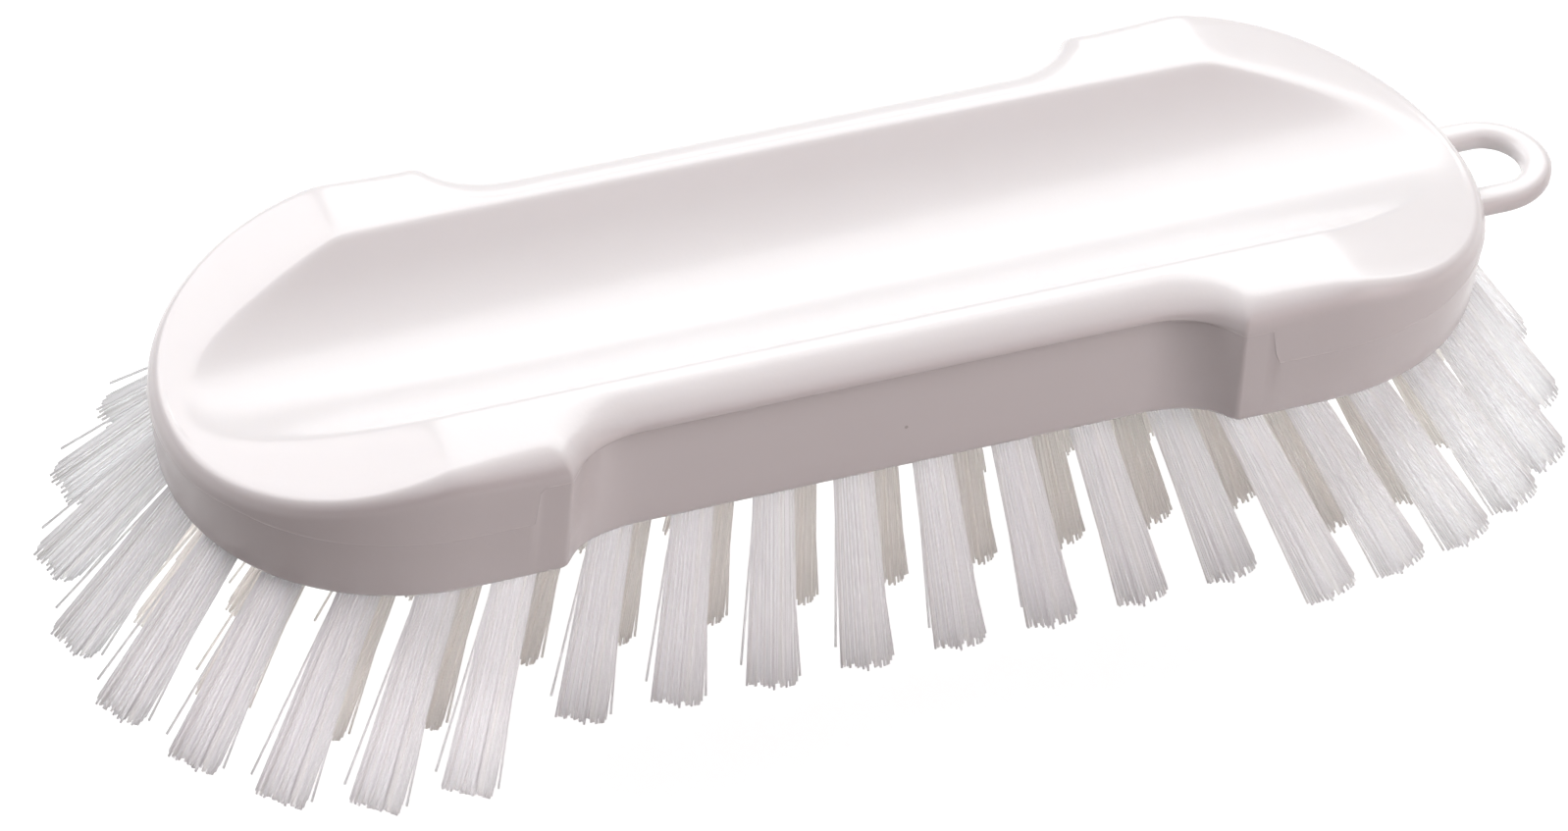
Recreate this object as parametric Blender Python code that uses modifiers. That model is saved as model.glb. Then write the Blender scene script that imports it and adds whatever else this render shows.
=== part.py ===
"""Cleaning brush: a moulded block with a narrow waist, a palm trough and a hanging loop, over splayed tufts.

Metres, +Z up. The tips of the bristles stand on z = 0 and the hanging loop points along +X.
"""

import math

import bmesh
import bpy
from mathutils import Matrix, Vector

# Block outline, seen from above
half_length = 0.0944
half_width = 0.033
bow_reach = 0.0338
bow_x = half_length - bow_reach
bow_power = 2.1
shoulder_reach = 0.0464
shoulder_x = half_length - shoulder_reach
waist_depth = 0.0062
waist_half_width = half_width - waist_depth
flank_angle = math.radians(60)
flank_fillet = 0.008

# Block heights, with the underside held up by the trimmed bristles
filament_length = 0.03063
trim_depth = 0.00143
stand_height = filament_length - trim_depth
block_height = 0.020
crown_reach = 0.0308
crown_x = half_length - crown_reach
crown_drop = 0.0083
crown_end_height = block_height - crown_drop
rim_radius = 0.0035
foot_radius = 0.001
lip_thickness = 0.0032
lip_height = block_height - lip_thickness
lip_depth = 0.0006

# Palm trough
waist_land = 0.0072
trough_half_width = waist_half_width - waist_land
trough_depth = 0.0073

# Hanging loop
loop_overhang = 0.0134
loop_outer_x = half_length + loop_overhang
loop_half_width = 0.0093
loop_reach = 0.0103
loop_band = 0.0044
hole_reach = 0.0044
loop_top = 0.0092
loop_bottom = 0.0062
loop_dome = 0.0011

# Tufts
hole_radius = 0.00275
hole_depth = 0.0072
clearance = 0.0003
ring_inset = 0.00544
left_pitch = 0.0103
right_pitch = 0.0094
left_side_count = 5
right_side_count = 6

# Straight rows of tufts in the waist, with the gaps that they keep to the shoulders
row_gaps = (0.0106, 0.0077)
row_count = 8
row_start_x = row_gaps[0] - shoulder_x
row_pitch = (shoulder_x - row_gaps[1] - row_start_x) / (row_count - 1)
row_inset = 0.0063
outer_row_y = waist_half_width - row_inset
inner_row_share = 0.527
inner_row_y = inner_row_share * outer_row_y
inner_row_gaps = (0.0070, 0.0014)
inner_row_count = 9
inner_row_start_x = inner_row_gaps[0] - shoulder_x
inner_row_pitch = (shoulder_x - inner_row_gaps[1] - inner_row_start_x) / (inner_row_count - 1)

# Tufts inside the block ends: an arc within the outer ring, and three within the arc
ring_step = 0.01026
inner_ring_inset = ring_inset + ring_step
inner_ring_pitch = 0.0112
inner_ring_count = 3
trio_gap = 0.0112
trio_tip_x = half_length - inner_ring_inset - trio_gap
trio_length = 0.008
trio_near_x = trio_tip_x - trio_length
trio_near_share = 0.302
trio_near_y = trio_near_share * outer_row_y

# Lean of a tuft, as shares of its distance from the middle, easing off towards the ends
lean_shares = (0.234, 0.692)
ease_shares = (-0.179, -0.262)
lean_left = 0.00088

# Strands
strand_count = 5
strand_ring = 0.0016
strand_radius = 0.00095
strand_sides = 4
strand_sink = 0.0010
spread_share = 1.42
ragged_share = 0.018
golden_share = 0.618034

# Slices of the underside that hold grouped tufts
slice_depth = 0.0020
slice_margin = 0.0028

# Facet counts and the reach of a cutter past what it cuts
bow_steps = 24
fillet_steps = 6
rim_segments = 4
dome_segments = 2
trough_steps = 72
hole_sides = 12
root_sides = 10
fine_steps = 240
overrun = 0.010
weld = 0.000003
smooth_angle = math.radians(35)
flat_angle = math.radians(1)
upright_share = 0.1
level_share = 0.9


def clear_scene():
    for obj in list(bpy.data.objects):
        bpy.data.objects.remove(obj, do_unlink=True)


def new_collection(name):
    group = bpy.data.collections.new(name)
    bpy.context.scene.collection.children.link(group)
    return group


def new_material(name, colour, roughness):
    material = bpy.data.materials.new(name)
    material.use_nodes = True
    shader = material.node_tree.nodes["Principled BSDF"]
    shader.inputs["Base Color"].default_value = (*colour, 1)
    shader.inputs["Roughness"].default_value = roughness
    shader.inputs["Metallic"].default_value = 0
    return material


def put(name, data, group, material=None):
    obj = bpy.data.objects.new(name, data)
    group.objects.link(obj)
    if material:
        data.materials.append(material)
    return obj


def hide(obj):
    obj.hide_render = True
    obj.display_type = "WIRE"
    return obj


def mesh_from(build, name):
    """A mesh filled by build, which adds to the bmesh that it is given."""
    work = bmesh.new()
    build(work)
    bmesh.ops.recalc_face_normals(work, faces=work.faces)
    data = bpy.data.meshes.new(name)
    work.to_mesh(data)
    work.free()
    return data


def evaluated(obj):
    graph = bpy.context.evaluated_depsgraph_get()
    graph.update()
    return bpy.data.meshes.new_from_object(obj.evaluated_get(graph))


def boolean(obj, other, operation, label):
    modifier = obj.modifiers.new(label, "BOOLEAN")
    modifier.operation = operation
    modifier.solver = "EXACT"
    modifier.object = other


def flat_plate(points, low, high, name, group):
    """A plate between two heights, cut out along a closed line of points."""
    curve = bpy.data.curves.new(name, "CURVE")
    curve.dimensions = "2D"
    curve.fill_mode = "BOTH"
    curve.extrude = (high - low) / 2
    line = curve.splines.new("POLY")
    line.points.add(len(points) - 1)
    for slot, (x, y) in zip(line.points, points):
        slot.co = Vector((x, y, 0)).to_4d()
    line.use_cyclic_u = True
    guide = put(name + "_line", curve, group)
    data = evaluated(guide)
    bpy.data.objects.remove(guide, do_unlink=True)
    work = bmesh.new()
    work.from_mesh(data)
    bmesh.ops.remove_doubles(work, verts=work.verts, dist=weld)
    bmesh.ops.translate(work, verts=work.verts, vec=(0, 0, (high + low) / 2))
    bmesh.ops.dissolve_limit(work, angle_limit=flat_angle, verts=work.verts, edges=work.edges)
    bmesh.ops.recalc_face_normals(work, faces=work.faces)
    work.to_mesh(data)
    work.free()
    return put(name, data, group)


def bow(inset, steps):
    """The curve of a block end from its tip to its side, moved inwards by an inset."""
    reach = half_length - bow_x - inset
    side = half_width - inset
    points = []
    for step in range(steps + 1):
        turn = math.pi / 2 * step / steps
        x = bow_x + reach * math.cos(turn) ** (2 / bow_power)
        y = side * math.sin(turn) ** (2 / bow_power)
        points.append((x, y))
    return points


def flank(inset):
    """The slope from the shoulder down to the waist, as points from outside to inside."""
    foot_y = waist_half_width - inset
    slide = inset / math.sin(flank_angle)
    corner_x = shoulder_x + slide
    foot_x = corner_x - (half_width - foot_y) / math.tan(flank_angle)
    radius = flank_fillet + inset
    arc_x = foot_x - radius * math.tan(flank_angle / 2)
    arc_y = foot_y + radius
    points = []
    for step in range(fillet_steps + 1):
        turn = flank_angle * (1 - step / fillet_steps)
        points.append((arc_x + radius * math.sin(turn), arc_y - radius * math.cos(turn)))
    return (corner_x, half_width), points


def block_outline():
    corner, foot = flank(0)
    quarter = bow(0, bow_steps) + [corner] + foot
    left = [(-x, y) for x, y in reversed(quarter)]
    far = quarter + left
    near = [(x, -y) for x, y in reversed(far)][1:-1]
    return far + near


def crown_wedge(side, group):
    """A wedge that takes away what stands above the sloping end of the crown."""
    top = stand_height + block_height
    drop = (block_height - crown_end_height) / (half_length - crown_x)
    far_x = half_length + overrun
    low = top - drop * (far_x - crown_x)
    back_x = crown_x - overrun
    profile = [(crown_x, top), (far_x, low), (far_x, top + overrun), (back_x, top + overrun)]
    profile.append((back_x, top + overrun * drop))

    def build(work):
        rows = []
        for y in (-half_width - overrun, half_width + overrun):
            rows.append([work.verts.new((side * x, y, z)) for x, z in profile])
        work.faces.new(rows[0])
        work.faces.new(rows[1])
        for index in range(len(profile)):
            after = (index + 1) % len(profile)
            work.faces.new((rows[0][index], rows[0][after], rows[1][after], rows[1][index]))

    name = "crown_wedge_right" if side > 0 else "crown_wedge_left"
    return hide(put(name, mesh_from(build, name), group))


def round_rims(obj):
    """Weights the rim of the crown fully and that of the underside less, then bevels both."""
    data = obj.data
    work = bmesh.new()
    work.from_mesh(data)
    layer = work.edges.layers.float.new("bevel_weight_edge")
    for edge in work.edges:
        if len(edge.link_faces) != 2:
            continue
        heights = sorted(face.normal.z for face in edge.link_faces)
        walls = min(abs(height) for height in heights)
        if walls < upright_share and heights[1] > level_share:
            edge[layer] = 1
        elif walls < upright_share and heights[0] < -level_share:
            edge[layer] = foot_radius / rim_radius
    work.to_mesh(data)
    work.free()
    bevel = obj.modifiers.new("rims", "BEVEL")
    bevel.limit_method = "WEIGHT"
    bevel.width = rim_radius
    bevel.segments = rim_segments
    bevel.use_clamp_overlap = False


def trough_cutter(group):
    """A cylinder along X whose lower side is the floor of the trough."""
    radius = (trough_half_width**2 + trough_depth**2) / (2 * trough_depth)
    middle = stand_height + block_height - trough_depth + radius
    matrix = Matrix.Translation((0, 0, middle)) @ Matrix.Rotation(math.pi / 2, 4, "Y")

    def build(work):
        bmesh.ops.create_cone(
            work,
            cap_ends=True,
            segments=trough_steps,
            radius1=radius,
            radius2=radius,
            depth=2 * (half_length + overrun),
            matrix=matrix,
        )

    return hide(put("trough", mesh_from(build, "trough"), group))


def undercut(side, group):
    """What the lip of the waist overhangs."""
    inner = flank(lip_depth)[1]
    beyond = half_width + overrun
    run = (beyond - inner[0][1]) / math.tan(flank_angle)
    right = [(inner[0][0] + run, beyond)] + inner
    line = right + [(-x, y) for x, y in reversed(right)]
    points = [(x, side * y) for x, y in line]
    name = "undercut_far" if side > 0 else "undercut_near"
    low = stand_height - overrun
    return hide(flat_plate(points, low, stand_height + lip_height, name, group))


def hanging_loop(group):
    """A band bent round the hole, with its two legs let into the end of the block."""
    outer_x = loop_outer_x - loop_reach
    inner_x = loop_outer_x - loop_band - hole_reach
    inner = loop_half_width - loop_band
    root_x = half_length - overrun
    steps = bow_steps
    outside = [(root_x, -loop_half_width)]
    inside = [(root_x, -inner)]
    for step in range(steps + 1):
        turn = math.pi * (step / steps - 1 / 2)
        sweep = (math.cos(turn), math.sin(turn))
        outside.append((outer_x + loop_reach * sweep[0], loop_half_width * sweep[1]))
        inside.append((inner_x + hole_reach * sweep[0], inner * sweep[1]))
    outside.append((root_x, loop_half_width))
    inside.append((root_x, inner))
    points = outside + inside[::-1]
    low = stand_height + loop_bottom
    high = stand_height + loop_top
    band = flat_plate(points, low, high, "loop", group)
    data = band.data
    work = bmesh.new()
    work.from_mesh(data)
    layer = work.edges.layers.float.new("bevel_weight_edge")
    for edge in work.edges:
        ends = [corner.co for corner in edge.verts]
        on_top = min(point.z for point in ends) > (low + high) / 2
        at_root = max(point.x for point in ends) < root_x + clearance
        folded = edge.calc_face_angle(0) > math.pi / 4
        edge[layer] = float(on_top and folded and not at_root)
    work.to_mesh(data)
    work.free()
    dome = band.modifiers.new("dome", "BEVEL")
    dome.limit_method = "WEIGHT"
    dome.width = loop_dome
    dome.segments = dome_segments
    return hide(band)


def along_ring(inset, pitch, count):
    """Points round a block end at equal steps from its tip, on the far side and at the tip."""
    fine = [Vector(point) for point in bow(inset, fine_steps)]
    fine.append(Vector((0, half_width - inset)))
    found = [fine[0].copy()]
    travelled = 0
    wanted = pitch
    for before, after in zip(fine, fine[1:]):
        stretch = (after - before).length
        while travelled + stretch >= wanted and len(found) <= count:
            found.append(before.lerp(after, (wanted - travelled) / stretch))
            wanted += pitch
        travelled += stretch
    return [(point.x, point.y) for point in found]


def tip_offset(x, y):
    """How far the tips of a tuft lie from its root, and how far below it."""
    ease = (x / half_length) ** 2
    out_x = lean_shares[0] * x * (1 + ease_shares[0] * ease) - lean_left
    out_y = lean_shares[1] * y * (1 + ease_shares[1] * ease)
    return out_x, out_y, -math.sqrt(filament_length**2 - out_x**2 - out_y**2)


def tuft_axis(x, y):
    """The root of a tuft on the underside, its direction and two directions square to it."""
    root = Vector((x, y, stand_height))
    along = Vector(tip_offset(x, y)).normalized()
    across = along.cross(Vector((0, 1, 0))).normalized()
    return root, along, across, along.cross(across)


def rod(work, start, end, radius, sides):
    """A closed rod between two points."""
    along = end - start
    turn = Vector((0, 0, 1)).rotation_difference(along.normalized()).to_matrix().to_4x4()
    bmesh.ops.create_cone(
        work,
        cap_ends=True,
        segments=sides,
        radius1=radius,
        radius2=radius,
        depth=along.length,
        matrix=Matrix.Translation((start + end) / 2) @ turn,
    )


def strand(work, base, tip, across, square, number):
    """A strand with its foot sunk in its backing, cut flat where it meets the floor."""
    rings = []
    for centre in (base, tip):
        ring = []
        for side in range(strand_sides):
            turn = 2 * math.pi * (side / strand_sides + number / strand_count)
            ring.append(centre + strand_radius * (math.cos(turn) * across + math.sin(turn) * square))
        rings.append(ring)
    ends = []
    for low, high in zip(*rings):
        if high.z < 0:
            high = low.lerp(high, low.z / (low.z - high.z))
            high.z = 0
        ends.append(work.verts.new(high))
    feet = [work.verts.new(point) for point in rings[0]]
    work.faces.new(feet)
    work.faces.new(ends)
    for side in range(strand_sides):
        after = (side + 1) % strand_sides
        work.faces.new((feet[side], feet[after], ends[after], ends[side]))


def strands(work, x, y, serial):
    """The strands of one tuft, fanned out and of slightly uneven length."""
    root, along, across, square = tuft_axis(x, y)
    for number in range(strand_count):
        turn = 2 * math.pi * number / strand_count
        out = math.cos(turn) * across + math.sin(turn) * square
        uneven = (serial * strand_count + number) * golden_share % 1 - 1 / 2
        length = filament_length * (1 + ragged_share * uneven)
        base = root + strand_ring * out - strand_sink * along
        tip = root + spread_share * strand_ring * out + length * along
        strand(work, base, tip, across, square, number)


def single_tuft(name, x, y, serial, parts, cutters, material):
    """A tuft with the packed root that fills its drilled hole."""
    root, along = tuft_axis(x, y)[:2]

    def plug(work):
        bottom = root - (hole_depth - clearance) * along
        rod(work, bottom, root, hole_radius - clearance, root_sides)

    obj = put(name, mesh_from(plug, name), parts, material)
    fan = mesh_from(lambda work: strands(work, x, y, serial), name + "_strands")
    boolean(obj, hide(put(name + "_strands", fan, cutters)), "UNION", "strands")


def slab(work, points, margin, low, high):
    """A slab under a line of tufts, lengthwise from the first to the last and as wide as they spread."""
    first = Vector(points[0])
    last = Vector(points[-1])
    along = (last - first).normalized()
    side = Vector((-along.y, along.x))
    offsets = [(Vector(point) - first).dot(side) for point in points]
    inner = min(offsets) - margin
    outer = max(offsets) + margin
    start = first - margin * along
    finish = last + margin * along
    ring = [start + inner * side, finish + inner * side, finish + outer * side, start + outer * side]
    levels = []
    for z in (low, high):
        levels.append([work.verts.new((point.x, point.y, z)) for point in ring])
    work.faces.new(levels[0])
    work.faces.new(levels[1])
    for index in range(len(ring)):
        after = (index + 1) % len(ring)
        work.faces.new((levels[0][index], levels[0][after], levels[1][after], levels[1][index]))


def tuft_group(name, points, serial, parts, cutters, material):
    """Tufts side by side on one slice of the underside."""

    def build(work):
        slab(work, points, slice_margin, stand_height, stand_height + slice_depth)

    obj = put(name, mesh_from(build, name), parts, material)

    def fans(work):
        for number, (x, y) in enumerate(points):
            strands(work, x, y, serial + number)

    fan = mesh_from(fans, name + "_strands")
    boolean(obj, hide(put(name + "_strands", fan, cutters)), "UNION", "strands")


def layout():
    """Names and places of the single tufts, then of the grouped ones."""
    single = []
    left = along_ring(ring_inset, left_pitch, left_side_count)
    right = along_ring(ring_inset, right_pitch, right_side_count)
    for end, ring, sign in (("left", left, -1), ("right", right, 1)):
        order = ring[:0:-1] + [(x, -y) for x, y in ring]
        for number, (x, y) in enumerate(order, 1):
            single.append((f"tuft_{end}_{number}", sign * x, y))
    for side, sign in (("near", -1), ("far", 1)):
        for number in range(row_count):
            x = row_start_x + number * row_pitch
            single.append((f"tuft_{side}_{number + 1}", x, sign * outer_row_y))
    grouped = []
    for side, sign in (("near", -1), ("far", 1)):
        xs = [inner_row_start_x + number * inner_row_pitch for number in range(inner_row_count)]
        grouped.append((f"inner_row_{side}", [(x, sign * inner_row_y) for x in xs]))
    middle = [(row_start_x + number * row_pitch, 0) for number in range(-1, row_count + 1)]
    grouped.append(("centre_row", middle))
    ring = along_ring(inner_ring_inset, inner_ring_pitch, inner_ring_count)
    for end, sign in (("left", -1), ("right", 1)):
        for side, turn in (("near", -1), ("far", 1)):
            pair = [(sign * x, turn * y) for x, y in ring[2:]]
            grouped.append((f"inner_pair_{end}_{side}", pair))
        tip = [(sign * ring[1][0], ring[1][1]), (sign * ring[0][0], 0), (sign * ring[1][0], -ring[1][1])]
        grouped.append((f"inner_tip_{end}", tip))
        trio = [(sign * trio_near_x, trio_near_y), (sign * trio_tip_x, 0), (sign * trio_near_x, -trio_near_y)]
        grouped.append((f"inner_trio_{end}", trio))
    return single, grouped


def hole_cutter(single, group):
    def build(work):
        for _, x, y in single:
            root, along = tuft_axis(x, y)[:2]
            rod(work, root - hole_depth * along, root + hole_depth * along, hole_radius, hole_sides)

    return hide(put("holes", mesh_from(build, "holes"), group))


def pocket_cutter(grouped, group):
    def build(work):
        top = stand_height + slice_depth + clearance
        for _, points in grouped:
            slab(work, points, slice_margin + clearance, stand_height - overrun, top)

    return hide(put("pockets", mesh_from(build, "pockets"), group))


def block(single, grouped, parts, cutters, material):
    top = stand_height + block_height
    body = flat_plate(block_outline(), stand_height, top, "block", parts)
    body.data.materials.append(material)
    for side in (-1, 1):
        boolean(body, crown_wedge(side, cutters), "DIFFERENCE", "crown")
    body.data = evaluated(body)
    body.modifiers.clear()
    round_rims(body)
    body.data.shade_smooth()
    body.data.set_sharp_from_angle(angle=smooth_angle)
    boolean(body, trough_cutter(cutters), "DIFFERENCE", "trough")
    for side in (-1, 1):
        boolean(body, undercut(side, cutters), "DIFFERENCE", "lip")
    boolean(body, hanging_loop(cutters), "UNION", "loop")
    boolean(body, hole_cutter(single, cutters), "DIFFERENCE", "holes")
    boolean(body, pocket_cutter(grouped, cutters), "DIFFERENCE", "pockets")


def centre_on_origin(parts, cutters):
    """Moves everything so that the origin lies under the middle of the part's bounding box."""
    graph = bpy.context.evaluated_depsgraph_get()
    graph.update()
    corners = []
    for obj in parts.objects:
        corners += [Vector(corner) for corner in obj.evaluated_get(graph).bound_box]
    low = Vector(map(min, zip(*corners)))
    high = Vector(map(max, zip(*corners)))
    middle = (low + high) / 2
    for obj in list(parts.objects) + list(cutters.objects):
        obj.location = (-middle.x, -middle.y, 0)


def main():
    clear_scene()
    parts = new_collection("cleaning_brush")
    cutters = new_collection("cutters")
    plastic = new_material("block_plastic", (0.88, 0.88, 0.87), 0.32)
    single, grouped = layout()
    block(single, grouped, parts, cutters, plastic)
    serial = 0
    for name, x, y in single:
        nylon = new_material(name + "_nylon", (0.80, 0.80, 0.78), 0.5)
        single_tuft(name, x, y, serial, parts, cutters, nylon)
        serial += 1
    for name, points in grouped:
        nylon = new_material(name + "_nylon", (0.66, 0.65, 0.63), 0.5)
        tuft_group(name, points, serial, parts, cutters, nylon)
        serial += len(points)
    centre_on_origin(parts, cutters)


main()
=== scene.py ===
"""Finish of a cleaning brush: a moulded block with a palm trough and a hanging loop, over splayed tufts.

Metres, +Z up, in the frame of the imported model.
"""

import math

import bmesh
import bpy
from mathutils import Matrix, Vector


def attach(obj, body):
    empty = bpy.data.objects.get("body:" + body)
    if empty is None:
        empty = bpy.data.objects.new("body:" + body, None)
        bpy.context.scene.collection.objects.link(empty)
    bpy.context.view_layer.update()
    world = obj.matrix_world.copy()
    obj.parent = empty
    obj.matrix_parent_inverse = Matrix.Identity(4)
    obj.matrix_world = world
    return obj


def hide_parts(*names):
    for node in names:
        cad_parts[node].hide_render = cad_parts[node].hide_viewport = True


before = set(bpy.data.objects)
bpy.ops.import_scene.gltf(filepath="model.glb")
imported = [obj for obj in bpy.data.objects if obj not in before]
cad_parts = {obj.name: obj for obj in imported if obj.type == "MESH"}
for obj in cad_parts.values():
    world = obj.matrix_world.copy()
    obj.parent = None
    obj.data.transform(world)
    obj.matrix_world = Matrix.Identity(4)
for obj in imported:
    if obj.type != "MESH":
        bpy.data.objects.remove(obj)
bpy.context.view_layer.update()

# Outline of the block, seen from above
half_length = 0.0944
half_width = 0.033
bow_x = 0.0606
bow_power = 2.1
shoulder_xs = {"right": 0.0469, "left": 0.0480}
waist_half_width = 0.0268
flank_angle = math.radians(50)
flank_fillet = 0.0125
corner_radius = 0.0009
corner_growth_share = 0.5
fillet_growth_share = 0.05

# How far the solid model is moved to stand centred on the origin
centre_shift = Vector((0.000595, 0.000036, 0))

# Block heights above its underside
stand_height = 0.0292
block_height = 0.020
crown_x = 0.0636
crown_end_height = 0.0117
crease_softness = 0.0014
foot_radius = 0.001
end_draft = 0.0008
waist_draft = -0.0019

# Mould line, and the lip over the waist wall
line_height = 0.010
line_width = 0.0005
line_relief = 0.00005
line_rise_gaps = (0.0052, 0.0042)
lip_height = 0.0163
lip_depth = 0.0024
lip_reach = 0.0006
lip_curl = 0.0006
lip_hollow = 0.0020
lip_fade_share = 0.85

# Rolled rim of the crown, at the tips of the ends, at the shoulders and in the waist
rim_widths = (0.0018, 0.0046, 0.0054)
rim_heights = (0.0024, 0.0036, 0.0030)
rim_powers = (2.0, 2.0, 1.6)
rim_change_x = 0.080
rim_clearance = 0.0003
waist_start_shares = {"bow": 0, "side": 0, "corner": 0, "flank": 0.2, "fillet": 0.4, "waist": 1}
waist_span_shares = {"bow": 0, "side": 0, "corner": 0.2, "flank": 0.2, "fillet": 0.6, "waist": 0}

# Palm trough
trough_half_width = 0.0196
trough_depth = 0.0073
trough_softness = 0.0003
trough_margin = 0.0008
trough_turn_x = 0.0620
spine_end_x = 0.080
spine_turn_x = 0.0600

# Hanging loop
loop_outer_x = 0.1078
loop_half_width = 0.0093
loop_reach = 0.0103
loop_band = 0.0044
hole_reach = 0.0044
loop_top = 0.0092
loop_bottom = 0.0062
loop_root_depth = 0.006
loop_top_power = 2.3
loop_bottom_power = 4.0

# Places of the tufts
hole_radius = 0.00275
hole_depth = 0.0072
hole_overrun = 0.004
ring_inset = 0.00544
ring_pitches = {"left": 0.0103, "right": 0.0094}
side_counts = {"left": 5, "right": 6}
row_pitch = 0.0111
row_start_x = -0.0374
row_count = 8
outer_row_y = 0.0205
inner_row_y = 0.0108
inner_row_start_x = -0.0410
inner_row_pitch = 0.01095
inner_row_count = 9
inner_ring_inset = 0.0157
inner_ring_pitch = 0.0112
inner_ring_count = 3
trio_near_x = 0.0595
trio_near_y = 0.0062
trio_tip_x = 0.0675

# Lean of a tuft, as shares of its distance from the middle, easing off towards the ends
lean_shares = (0.234, 0.692)
ease_shares = (-0.179, -0.262)
lean_left = 0.00088

# Filaments
filament_length = 0.03063
filament_count = 220
filament_radius = 0.00019
filament_sides = 5
filament_segments = 4
packed_radius = 0.0024
packed_sink = 0.0066
fan_share = 1.40
ragged_length = 0.0022
tip_wander = 0.00018
bend_reach = 0.00018
stray_share = 0.004
stray_reach = 0.0030
least_stray_share = 0.4
floor_gap = 0.0003

# Tufts cut longer or shorter than the rest
length_changes = {
    "tuft_left_9": 0.0014,
    "tuft_left_10": 0.0020,
    "tuft_left_11": 0.0016,
    "tuft_right_10": -0.0016,
    "tuft_right_11": -0.0016,
    "tuft_right_12": -0.0010,
}

# Turn from one filament to the next and from tuft to tuft, and the seeds of the random draws
golden_turn = math.pi * (3 - math.sqrt(5))
tuft_turn = 1.7
numbers_a_tuft = 1000
seeds = {
    "ragged": 1,
    "stray": 2,
    "stray_reach": 3,
    "wander_across": 4,
    "wander_square": 5,
    "bend_across": 6,
    "bend_square": 7,
    "tone": 8,
}

# Samples along a quarter of the outline, and rings across the block
bow_samples = 96
side_samples = 18
corner_samples = 7
flank_samples = 6
fillet_samples = 12
waist_samples = 48
foot_rings = 4
curl_rings = 4
rim_rings = 10
trough_rings = 14
wall_shares = (0.25, 0.5, 0.75)
land_shares = (0.2, 0.4, 0.6, 0.8)
loop_steps = 40
loop_sides = 24
hole_sides = 24
fine_steps = 240
weld = 0.000002
sharp_angle = math.radians(40)

# Detail of the soft and of the fine noise
soft_detail = 2
fine_detail = 3

# White moulded plastic: a cloudy tone, fine specks, grain and the rub of hands along it
plastic_tones = ((0.86, 0.855, 0.855, 1), (0.90, 0.898, 0.898, 1))
speck_tone = (0.45, 0.43, 0.41, 1)
cloud_scale = 35
speck_scale = 70
speck_size = 0.018
speck_share = 0.22
speck_strength = 0.6
grain_scale = 1400
wear_scale = 260
swell_scale = 160
rub_stretch = (14, 900, 900)
noise_harshness = 0.55
relief_shares = {"grain": 0.5, "rub": 0.3, "swell": 1.2, "speck": 2}
relief_strength = 0.25
relief_depth = 0.00008
plastic_roughness = 0.16
plastic_wear = 0.10
plastic_depth_share = 0.12
plastic_depth_reach = (1.0, 0.9, 0.8)
plastic_depth = 0.0008
plastic_index = 1.48

# Nylon filaments: their lightest, creamy and darkest tones, and how they let light through
outer_tones = ((0.955, 0.957, 0.966, 1), (0.955, 0.94, 0.91, 1), (0.925, 0.928, 0.942, 1))
# The inner tones are the same nylon made darker, painted shade of the inner rows, and a little warmer in
# tint.
inner_shaded_tones = ((0.885, 0.870, 0.842, 1), (0.885, 0.85, 0.80, 1), (0.83, 0.815, 0.795, 1))
creamy_from = 0.72
creamy_strength = 0.4
nylon_roughness = 0.78
tone_roughness = 0.08
tip_gloss = 0.04
nylon_depth = 0.001
nylon_clear_share = 0.52
nylon_index = 1.2

# Lightness of the tufts: near and inner ones, far ones, and from the far to the near side of an end. The
# far tufts and the far sides of the ends are darker by painted shade.
plain_lightness = 0.91
far_painted_shade = 0.64
end_painted_shade = {"left": (0.68, 0.95), "right": (0.70, 0.95)}
painted_shade_powers = {"left": 3, "right": 1}

# Pale floor
floor_reach = 3.0
floor_tones = ((0.30, 0.30, 0.30, 1), (0.32, 0.32, 0.32, 1))
floor_scale = 4
floor_roughness = 0.9
floor_glow = 0.86

# Camera, from the middle of the block's underside, for a picture of this width in pixels
photo_width = 1598
camera_azimuth = math.radians(-21.966)
camera_elevation = math.radians(40.774)
camera_roll = math.radians(2.673)
camera_distance = 0.89816
camera_pixels = 6694.98
camera_slide = (-0.00578, -0.00949)
sensor_width = 36
clip_near = 0.01
clip_far = 20

# Studio: softboxes with their places, watts and colours, and the light of the room
softbox_size = (0.9, 0.7)
softboxes = (
    ("back_left_softbox", (-0.45, 0.62, 0.75), 7.1, (1.0, 0.97, 0.98)),
    ("back_right_softbox", (0.45, 0.62, 0.75), 6.9, (0.96, 1.0, 1.0)),
    ("front_right_softbox", (0.70, -0.75, 0.35), 3.8, (1.0, 0.87, 0.86)),
    ("front_top_softbox", (0.0, -0.60, 0.85), 2.1, (1.0, 0.95, 0.98)),
)
room_light = 0.11
room_tone = (1.0, 0.68, 0.66, 1)

# Shapes worked out from the sizes above
crown_slope = (block_height - crown_end_height) / (half_length - crown_x)
trough_radius = (trough_half_width**2 + trough_depth**2) / (2 * trough_depth)
trough_axis = block_height - trough_depth + trough_radius


# ---------------------------------------------------------------- small helpers


def smooth_step(value):
    """Rises from 0 to 1 with no corner at either end."""
    held = min(max(value, 0), 1)
    return held * held * (3 - 2 * held)


def new_collection(name):
    """A new collection in the scene."""
    group = bpy.data.collections.new(name)
    bpy.context.scene.collection.children.link(group)
    return group


def put(name, data, group):
    """A new object in a collection."""
    obj = bpy.data.objects.new(name, data)
    group.objects.link(obj)
    return obj


def drop(obj):
    """Takes away an object that has done its work."""
    bpy.data.objects.remove(obj, do_unlink=True)


def evaluated(obj):
    """The mesh of an object after its modifiers."""
    graph = bpy.context.evaluated_depsgraph_get()
    graph.update()
    return bpy.data.meshes.new_from_object(obj.evaluated_get(graph))


def closed_mesh(work, name):
    """A mesh made from bmesh work, with its faces turned outwards."""
    bmesh.ops.recalc_face_normals(work, faces=work.faces)
    data = bpy.data.meshes.new(name)
    work.to_mesh(data)
    work.free()
    return data


# ---------------------------------------------------------------- node trees


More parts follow.
